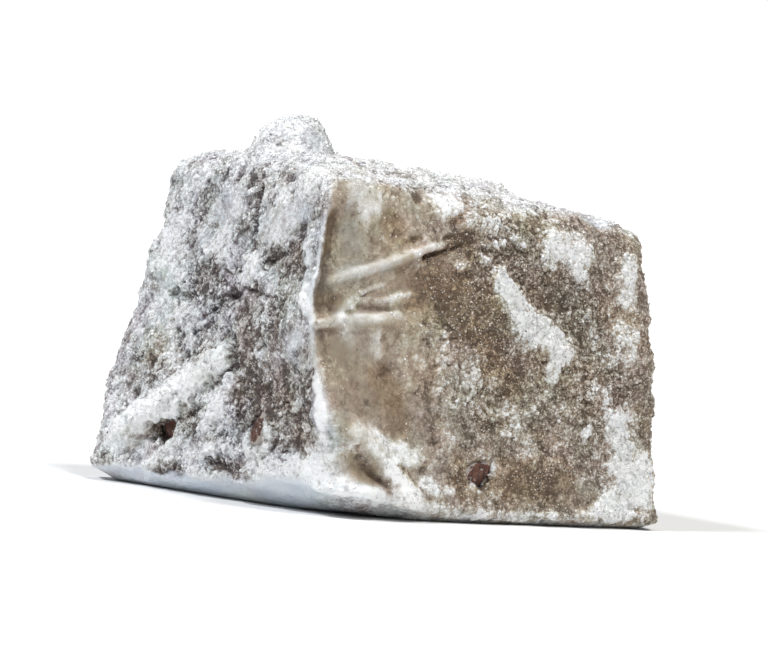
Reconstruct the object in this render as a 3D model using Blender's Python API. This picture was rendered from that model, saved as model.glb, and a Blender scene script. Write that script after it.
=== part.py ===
"""One piece of almond Turkish delight: a soft cube cut by hand, caked with starch and sugar.

The piece stands on its flat underside. It is shaped in millimetres, counted from the near bottom
corner, where the front and left faces meet: x runs right along the front face, y runs back along
the left face and z runs up. An empty then carries the whole piece, so that the middle of its
underside lies at the origin.
"""

import math

import bpy
from mathutils import Matrix, Vector, noise

MM = 0.001

# Driving sizes of the block, in millimetres. Its four corners differ in height.
BASE_WIDTH = 26.5
BASE_DEPTH = 26.6
NEAR_HEIGHT = 22.8
RIGHT_HEIGHT = 20.1
BACK_LEFT_HEIGHT = 22.9
BACK_RIGHT_HEIGHT = 20.6

# How far the soft block leans, spreads and swells from a true box, in millimetres.
FRONT_LEAN = 2.2
LEFT_LEAN = 1.6
RIGHT_LEAN = 1.6
BACK_LEAN = 1.8
FOOT_SPREAD = 5.2
NEAR_EDGE_BOW = 2.2
NEAR_EDGE_BOW_LEVEL = 0.56
NEAR_EDGE_BOW_REACH = 0.33
TOP_DOME = 1.7
SIDE_BELLY = 0.35
NEAR_FOOT_LIFT = 1.3

# Rounding of the edges, as shares of the block's half width.
EDGE_ROUND = 0.12
NEAR_EDGE_ROUND = 0.06
FOOT_ROUND = 0.13
LEFT_FOOT_ROUND = 0.25

# How deep the round underside is pressed flat, in millimetres.
PRESSED = 0.2

# The block starts as a cube with this many cells along each edge, and keeps this share of them.
GRID_CELLS = 56
KEPT_SHARE = 0.235

# Caked starch, in millimetres: height and spacing of the waves, crags and grit.
WAVE = (0.45, 9.0)
CRAG = (0.55, 2.9)
GRIT = (0.24, 1.25)
CUT_FACE_SMOOTHNESS = 0.55

# The knob of jelly and starch on the top face, in millimetres.
KNOB_PLACE = (2.6, 13.8)
KNOB_RADIUS = 3.3
KNOB_HEIGHT = 2.3

# The caked skin of the left face ends at the near edge in a thin lip, above a hollow in the front.
LIP_HEIGHT = 0.5
LIP_WIDTH = 0.7
HOLLOW_DEPTH = 0.65
HOLLOW_WIDTH = 5.5

# Folds of the skin and creases in it: start, end, half width and height, on each face.
FRONT_FOLDS = (
    ((-2.0, 15.7), (6.6, 18.4), 0.42, 0.55),
    ((0.6, 14.9), (9.7, 18.4), 0.50, -0.40),
    ((-2.9, 13.0), (3.6, 13.4), 0.55, 0.60),
    ((0.2, 5.9), (4.9, 1.8), 1.10, 0.90),
    ((0.2, 4.7), (3.0, 2.2), 0.65, -0.65),
    ((11.8, 16.7), (16.9, 11.2), 1.20, 0.35),
)
LEFT_FOLDS = (
    ((21.6, 3.9), (12.5, 9.9), 1.25, 1.00),
    ((20.8, 3.2), (14.6, 5.9), 0.80, -0.70),
    ((13.4, 3.9), (11.4, 8.4), 0.80, 0.50),
    ((12.2, 11.0), (9.0, 6.4), 0.75, -0.70),
    ((5.0, 18.4), (8.6, 16.4), 0.75, -0.45),
    ((15.2, 12.6), (9.4, 14.9), 0.60, -0.45),
    ((20.9, 13.6), (18.9, 13.1), 0.80, -0.50),
    ((8.4, 2.4), (2.4, 3.3), 1.00, 0.60),
)
TOP_FOLDS = (
    ((7.0, 6.0), (17.5, 9.5), 1.0, 0.50),
    ((10.5, 16.5), (19.0, 19.5), 0.9, -0.45),
)
BACK_FOLDS = (
    ((4.5, 16.0), (13.0, 12.8), 0.9, 0.70),
    ((14.0, 6.8), (21.5, 9.5), 0.9, -0.60),
    ((3.0, 4.4), (9.5, 7.2), 1.1, 0.75),
)
RIGHT_FOLDS = (
    ((4.5, 5.8), (12.5, 10.2), 1.0, 0.70),
    ((13.5, 15.2), (20.5, 12.0), 0.8, -0.55),
    ((16.0, 4.2), (21.5, 6.6), 1.0, 0.60),
)

# The crumbly crust that stands out along the foot, in millimetres.
CRUST_LEVEL = 1.9
CRUST_DROP = 0.045
CRUST_HEIGHT = 0.8
CRUST_WIDTH = 0.75

# Chips of chopped almond at the surface: name, face, place on it, turn in degrees, length and
# how far the chip stands proud of the jelly, in millimetres.
ALMONDS = (
    ("almond_left_near", "left", (7.5, 4.8), 68.0, 3.6, 0.20),
    ("almond_left_far", "left", (18.2, 4.0), 158.0, 4.2, 0.26),
    ("almond_front", "front", (11.4, 3.6), 30.0, 3.6, 0.12),
    ("almond_right", "right", (15.5, 9.5), 20.0, 5.4, 0.24),
    ("almond_back", "back", (16.5, 14.0), 115.0, 5.0, 0.22),
)
ALMOND_WIDTH_SHARE = 0.62
ALMOND_THICKNESS_SHARE = 0.46
ALMOND_TAPER = 0.30
ALMOND_CUT_SHARE = 0.6
POCKET_GAP = 0.32

JELLY_COLOUR = (0.42, 0.36, 0.29, 1.0)
ALMOND_COLOUR = (0.22, 0.09, 0.045, 1.0)


def clear_scene():
    for thing in list(bpy.data.objects):
        bpy.data.objects.remove(thing)


def new_collection(name):
    collection = bpy.data.collections.new(name)
    bpy.context.scene.collection.children.link(collection)
    return collection


def move_to(collection, thing):
    for other in list(thing.users_collection):
        other.objects.unlink(thing)
    collection.objects.link(thing)


def surface_material(name, colour, roughness):
    material = bpy.data.materials.new(name)
    material.use_nodes = True
    shader = material.node_tree.nodes["Principled BSDF"]
    shader.inputs["Base Color"].default_value = colour
    shader.inputs["Roughness"].default_value = roughness
    shader.inputs["Metallic"].default_value = 0.0
    return material


def shade(thing, sharp_angle):
    thing.data.shade_smooth()
    thing.data.set_sharp_from_angle(angle=math.radians(sharp_angle))


def ease(share):
    share = min(max(share, 0.0), 1.0)
    return share * share * (3.0 - 2.0 * share)


def bell(distance, half_width):
    return math.exp(-((distance / half_width) ** 2))


def mix(first, second, share):
    return first + (second - first) * share


def block_point(u, v, w):
    """Point of the leaning block for shares u, v, w of its width, depth and height."""
    left = -FOOT_SPREAD * v * (1 - w) ** 1.6 - LEFT_LEAN * (1 - v) * w
    left -= NEAR_EDGE_BOW * bell(w - NEAR_EDGE_BOW_LEVEL, NEAR_EDGE_BOW_REACH) * (1 - v) ** 2
    right = BASE_WIDTH - RIGHT_LEAN * w
    front = FRONT_LEAN * w
    back = BASE_DEPTH - (BACK_LEAN + 0.6 * u) * w
    near_top = mix(NEAR_HEIGHT, RIGHT_HEIGHT, u)
    back_top = mix(BACK_LEFT_HEIGHT, BACK_RIGHT_HEIGHT, u)
    lift = NEAR_FOOT_LIFT * max(0.0, 1 - 2.2 * u) ** 2 * max(0.0, 1 - 1.8 * v) ** 2 * (1 - w) ** 3
    return Vector((mix(left, right, u), mix(front, back, v), w * mix(near_top, back_top, v) + lift))


def edge_round(cube):
    """Share of rounding at a place on the cube: small at the near edge, wide at the left foot."""
    near = ease((-cube.x - 0.5) / 0.4) * ease((-cube.y - 0.5) / 0.4)
    foot = mix(FOOT_ROUND, LEFT_FOOT_ROUND, ease(-0.3 - cube.x))
    upper = mix(EDGE_ROUND, NEAR_EDGE_ROUND, near)
    return mix(foot, upper, ease((cube.z + 1.0) / 0.6))


def rounded(cube):
    """Point and normal of a cube with rounded edges, for a point on the sharp cube."""
    share = edge_round(cube)
    inner = Vector([max(share - 1, min(1 - share, side)) for side in cube])
    normal = (cube - inner).normalized()
    return inner + normal * share, normal


def fold_relief(folds, across, up):
    """Height of one face's folds and creases at a place on it."""
    here = Vector((across, up))
    wander = 0.45 * noise.noise(Vector((across, up, 7.0)) * 0.6)
    height = 0.0
    for start, end, half_width, fold_height in folds:
        run = Vector(end) - Vector(start)
        share = min(max((here - Vector(start)).dot(run) / run.length_squared, 0.0), 1.0)
        distance = (here - Vector(start) - run * share).length + wander
        taper = 1.0 - 0.5 * share
        height += fold_height * taper * bell(distance, half_width * (1.0 - 0.3 * share))
    return height


def caked_relief(point):
    """Uneven starch, caked all over the block."""
    waves = noise.noise(point / WAVE[1])
    crags = noise.fractal(point / CRAG[1] + Vector((3.1, 0.4, 8.2)), 0.9, 2.1, 2)
    grit = noise.noise(point / GRIT[1] + Vector((11.0, 5.0, 2.0)))
    return WAVE[0] * waves + CRAG[0] * crags + GRIT[0] * grit


def lip_relief(point, from_edge):
    """The lip along the near edge, and the hollow in the front face beside it."""
    lip_span = ease((point.z - 2.0) / 4.0) * ease((NEAR_HEIGHT - 0.5 - point.z) / 2.0)
    hollow_span = ease((point.z - 8.0) / 4.0) * ease((NEAR_HEIGHT - 1.5 - point.z) / 2.5)
    inside = ease((from_edge - 0.5) / 0.8) * (1.0 - ease((from_edge - 1.3) / HOLLOW_WIDTH))
    return LIP_HEIGHT * lip_span * bell(from_edge - 0.4, LIP_WIDTH) - HOLLOW_DEPTH * hollow_span * inside


def crust_relief(point):
    """Crumbs caked along the foot in a broken line, lower away from the near corner."""
    lumps = 0.45 + 0.9 * noise.noise(point / 1.5 + Vector((0.0, 4.0, 9.0)))
    level = CRUST_LEVEL - CRUST_DROP * (max(0.0, point.x) + 0.7 * max(0.0, point.y))
    level = max(0.9, level) + 0.5 * noise.noise(point / 3.5)
    return CRUST_HEIGHT * max(0.0, lumps) * bell(point.z - level, CRUST_WIDTH)


def relief(point, normal, from_edge):
    """How far the surface stands out from the smooth block, in millimetres."""
    front = max(0.0, -normal.y)
    height = caked_relief(point) * (1.0 - CUT_FACE_SMOOTHNESS * front)
    height += front * (lip_relief(point, from_edge) + fold_relief(FRONT_FOLDS, point.x, point.z))
    height += max(0.0, -normal.x) * fold_relief(LEFT_FOLDS, point.y, point.z)
    height += max(0.0, normal.x) * fold_relief(RIGHT_FOLDS, point.y, point.z)
    height += max(0.0, normal.y) * fold_relief(BACK_FOLDS, point.x, point.z)
    height += max(0.0, normal.z) * fold_relief(TOP_FOLDS, point.x, point.y)
    upright = 1.0 - abs(normal.z)
    height += upright * crust_relief(point)
    height += upright * SIDE_BELLY * math.sin(math.pi * ease(point.z / NEAR_HEIGHT))
    return height * (1.0 - ease((-normal.z - 0.5) / 0.35))


def knob_relief(point):
    distance = math.hypot(point.x - KNOB_PLACE[0], point.y - KNOB_PLACE[1]) / KNOB_RADIUS
    if distance >= 1.0:
        return 0.0
    return KNOB_HEIGHT * math.sqrt(1.0 - distance**2) * ease(2.0 * (1.0 - distance))


def surface(cube):
    """Point and normal of the finished surface, in millimetres, for a point on the cube."""
    shape, normal = rounded(cube)
    u, v, w = ((side + 1.0) / 2.0 for side in shape)
    point = block_point(u, v, w)
    from_edge = (point - block_point(0.0, v, w)).length
    dome = TOP_DOME * math.sin(math.pi * u**0.6) * math.sin(math.pi * v)
    top_relief = max(0.0, normal.z) * (dome + knob_relief(point))
    point += normal * relief(point, normal, from_edge)
    point.z = max(0.0, point.z + top_relief - PRESSED)
    return point, normal


def make_block(material):
    """The cube of jelly with its caked relief, as one closed mesh."""
    bpy.ops.mesh.primitive_cube_add(size=2.0)
    block = bpy.context.object
    block.name = "delight"
    bpy.ops.object.mode_set(mode="EDIT")
    bpy.ops.mesh.select_all(action="SELECT")
    bpy.ops.mesh.subdivide(number_cuts=GRID_CELLS - 1)
    bpy.ops.object.mode_set(mode="OBJECT")
    for corner in block.data.vertices:
        corner.co = surface(corner.co)[0] * MM
    thinning = block.modifiers.new("fewer_triangles", "DECIMATE")
    thinning.ratio = KEPT_SHARE
    bpy.ops.object.modifier_apply(modifier=thinning.name)
    for corner in block.data.vertices:
        if corner.co.z < 0.02 * MM:
            corner.co.z = 0.0
    block.data.materials.append(material)
    shade(block, 50.0)
    return block


def face_place(face, place):
    """Point on the cube for a place, in millimetres, on one face of the block."""
    across, up = place
    rise = 2.0 * up / (0.5 * (NEAR_HEIGHT + RIGHT_HEIGHT)) - 1.0
    wide = 2.0 * across / BASE_WIDTH - 1.0
    deep = 2.0 * across / BASE_DEPTH - 1.0
    sides = {
        "left": (-1.0, deep, rise),
        "right": (1.0, deep, rise),
        "front": (wide, -1.0, rise),
        "back": (wide, 1.0, rise),
    }
    return Vector(sides[face])


def almond_chip(name, length, grown, material):
    """A chip of almond lying along x: oval, slimmer at one end, chopped straight across the other."""
    bpy.ops.mesh.primitive_ico_sphere_add(subdivisions=3, radius=1.0)
    chip = bpy.context.object
    chip.name = name
    chip.data.name = name
    half = Vector((1.0, ALMOND_WIDTH_SHARE, ALMOND_THICKNESS_SHARE)) * length / 2
    for corner in chip.data.vertices:
        side = corner.co.copy()
        slim = 1.0 - ALMOND_TAPER * ease((side.x + 1.0) / 2.0)
        cut_x = max(side.x, -ALMOND_CUT_SHARE)
        corner.co = Vector((cut_x * half.x, side.y * half.y * slim, side.z * half.z * slim))
    chip.data.update()
    outward = [corner.normal.copy() for corner in chip.data.vertices]
    for corner, normal in zip(chip.data.vertices, outward):
        corner.co = (corner.co + normal * grown) * MM
    chip.data.materials.append(material)
    shade(chip, 40.0)
    return chip


def place_chip(chip, point, normal, turn, sunk):
    """Sets a chip into a face, with its broad side along the surface."""
    facing = normal.to_track_quat("Z", "Y").to_matrix().to_4x4()
    spin = Matrix.Rotation(math.radians(turn), 4, "Z")
    chip.matrix_world = Matrix.Translation((point - normal * sunk) * MM) @ facing @ spin


def make_almonds(parts, pockets, material):
    """Each chip of almond, and the slightly larger cutter that makes its pocket."""
    for name, face, place, turn, length, proud in ALMONDS:
        point, normal = surface(face_place(face, place))
        sunk = length * ALMOND_THICKNESS_SHARE / 2 - proud
        chip = almond_chip(name, length, 0.0, material)
        place_chip(chip, point, normal, turn, sunk)
        move_to(parts, chip)
        pocket = almond_chip(name + "_pocket", length, POCKET_GAP, material)
        place_chip(pocket, point, normal, turn, sunk)
        pocket.hide_render = True
        pocket.display_type = "WIRE"
        move_to(pockets, pocket)


def cut_pockets(block, pockets):
    cut = block.modifiers.new("almond_pockets", "BOOLEAN")
    cut.operation = "DIFFERENCE"
    cut.operand_type = "COLLECTION"
    cut.collection = pockets
    cut.solver = "EXACT"


def stand_on_origin(things, block):
    """Carries everything on an empty, so that the middle of the underside is the origin."""
    xs = [corner.co.x for corner in block.data.vertices]
    ys = [corner.co.y for corner in block.data.vertices]
    carrier = bpy.data.objects.new("middle_of_underside", None)
    bpy.context.scene.collection.objects.link(carrier)
    carrier.location = (-(min(xs) + max(xs)) / 2, -(min(ys) + max(ys)) / 2, 0.0)
    for thing in things:
        thing.parent = carrier


def main():
    clear_scene()
    parts = new_collection("almond_turkish_delight")
    pockets = new_collection("pockets")
    jelly = surface_material("dusted_jelly", JELLY_COLOUR, 0.85)
    almond = surface_material("almond_skin", ALMOND_COLOUR, 0.55)
    block = make_block(jelly)
    move_to(parts, block)
    make_almonds(parts, pockets, almond)
    cut_pockets(block, pockets)
    stand_on_origin([*parts.objects, *pockets.objects], block)


main()
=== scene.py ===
import math

import bpy
import numpy as np
from mathutils import Matrix, Vector, noise


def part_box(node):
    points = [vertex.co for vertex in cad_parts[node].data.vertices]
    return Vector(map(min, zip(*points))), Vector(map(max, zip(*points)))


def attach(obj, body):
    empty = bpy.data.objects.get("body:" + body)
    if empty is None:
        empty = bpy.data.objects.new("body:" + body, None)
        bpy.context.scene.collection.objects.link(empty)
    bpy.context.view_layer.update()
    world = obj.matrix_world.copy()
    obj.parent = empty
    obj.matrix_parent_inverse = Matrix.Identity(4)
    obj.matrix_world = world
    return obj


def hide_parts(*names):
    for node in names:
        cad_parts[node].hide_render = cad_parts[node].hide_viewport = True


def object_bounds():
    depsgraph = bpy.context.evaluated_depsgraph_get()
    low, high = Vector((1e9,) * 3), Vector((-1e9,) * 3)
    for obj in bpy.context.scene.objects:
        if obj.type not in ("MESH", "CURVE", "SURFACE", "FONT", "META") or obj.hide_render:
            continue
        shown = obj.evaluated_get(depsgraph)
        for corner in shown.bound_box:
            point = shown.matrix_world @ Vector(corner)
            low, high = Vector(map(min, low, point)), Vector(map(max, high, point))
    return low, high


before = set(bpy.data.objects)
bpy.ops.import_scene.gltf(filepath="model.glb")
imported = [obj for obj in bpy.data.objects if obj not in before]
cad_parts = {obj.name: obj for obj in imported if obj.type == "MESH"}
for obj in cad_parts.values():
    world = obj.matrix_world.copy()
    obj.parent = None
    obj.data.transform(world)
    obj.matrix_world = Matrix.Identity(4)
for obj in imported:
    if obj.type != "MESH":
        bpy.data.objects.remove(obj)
cadLow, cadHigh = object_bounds()
print("frame loaded")

mm = 0.001
nearCorner = np.array((-0.0113742, -0.0133056, 0.0))  # where the front and left faces meet on the floor


def deselectAll():
    bpy.ops.object.select_all(action="DESELECT")


def makeActive(thing):
    deselectAll()
    thing.select_set(True)
    bpy.context.view_layer.objects.active = thing


def copyOfNode(node, name):  # a merged copy of one solid of the frame, as a start for a finer piece
    made = bpy.data.objects.new(name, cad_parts[node].data.copy())
    made.data.name = name
    made.data.materials.clear()
    bpy.context.scene.collection.objects.link(made)
    makeActive(made)
    bpy.ops.object.mode_set(mode="EDIT")
    bpy.ops.mesh.select_all(action="SELECT")
    bpy.ops.mesh.remove_doubles(threshold=0.000002)
    bpy.ops.object.mode_set(mode="OBJECT")
    return made


def applyModifier(thing, kind, **settings):
    makeActive(thing)
    modifier = thing.modifiers.new(kind.lower(), kind)
    for name, value in settings.items():
        setattr(modifier, name, value)
    bpy.ops.object.modifier_apply(modifier=modifier.name)


def vertexPlaces(mesh):
    values = np.zeros(len(mesh.vertices) * 3)
    mesh.vertices.foreach_get("co", values)
    return values.reshape(-1, 3)


def vertexNormals(mesh):
    values = np.zeros(len(mesh.vertices) * 3)
    mesh.vertex_normals.foreach_get("vector", values)
    return values.reshape(-1, 3)


def setAttribute(mesh, name, values):
    layer = mesh.attributes.get(name) or mesh.attributes.new(name, "FLOAT", "POINT")
    layer.data.foreach_set("value", np.asarray(values, dtype=np.float32))


def eased(values, low, high):
    share = np.clip((values - low) / (high - low), 0.0, 1.0)
    return share * share * (3.0 - 2.0 * share)


def bell(values, halfWidth):
    return np.exp(-((values / halfWidth) ** 2))


def noiseOver(points, spacing, seed):  # from about -1 to 1, points and spacing in millimetres
    shifted = points / spacing + np.array((1.7 * seed + 0.3, 3.1 * seed - 2.0, 0.9 * seed + 5.0))
    return np.array([noise.noise(place) for place in shifted.tolist()])


def noises(points, layers):  # layers of size, spacing and seed, added up
    return sum(size * noiseOver(points, spacing, seed) for size, spacing, seed in layers)


# Distance of places on a face from a line on it, and how far along it they are, 0 to 1. A line is given as
# its places on the face, across and up by turns.
def awayFrom(line, across, up):
    nearest, along = np.full(len(across), 1e6), np.zeros(len(across))
    stretches = list(zip(line[0:-2:2], line[1:-2:2], line[2::2], line[3::2]))
    for number, (startX, startZ, endX, endZ) in enumerate(stretches):
        runX, runZ = endX - startX, endZ - startZ
        length = max(runX * runX + runZ * runZ, 1e-6)
        share = np.clip(((across - startX) * runX + (up - startZ) * runZ) / length, 0.0, 1.0)
        away = np.hypot(across - startX - share * runX, up - startZ - share * runZ)
        along = np.where(away < nearest, (number + share) / len(stretches), along)
        nearest = np.minimum(away, nearest)
    return nearest, along


# The two folds in the front, in millimetres from the near bottom corner, across and up by turns.
upperFold = (-2.1, 15.65, -0.6, 16.05, 0.6, 16.35, 1.7, 16.7, 2.9, 17.1, 4.1, 17.6, 5.3, 18.05, 6.4, 18.4)
lowerFold = (-3.2, 12.85, -1.5, 13.1, 0.3, 13.25, 1.8, 13.35, 3.5, 13.68)

# And one long crease in each of three other faces.
rightCrease = (13.8, 15.4, 16.2, 14.3, 18.0, 13.6, 20.2, 11.8)
backCrease = (14.3, 6.6, 16.8, 7.9, 18.6, 8.1, 21.3, 9.6)
topCrease = (10.8, 16.3, 13.6, 17.9, 16.0, 18.2, 18.6, 19.6)

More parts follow.
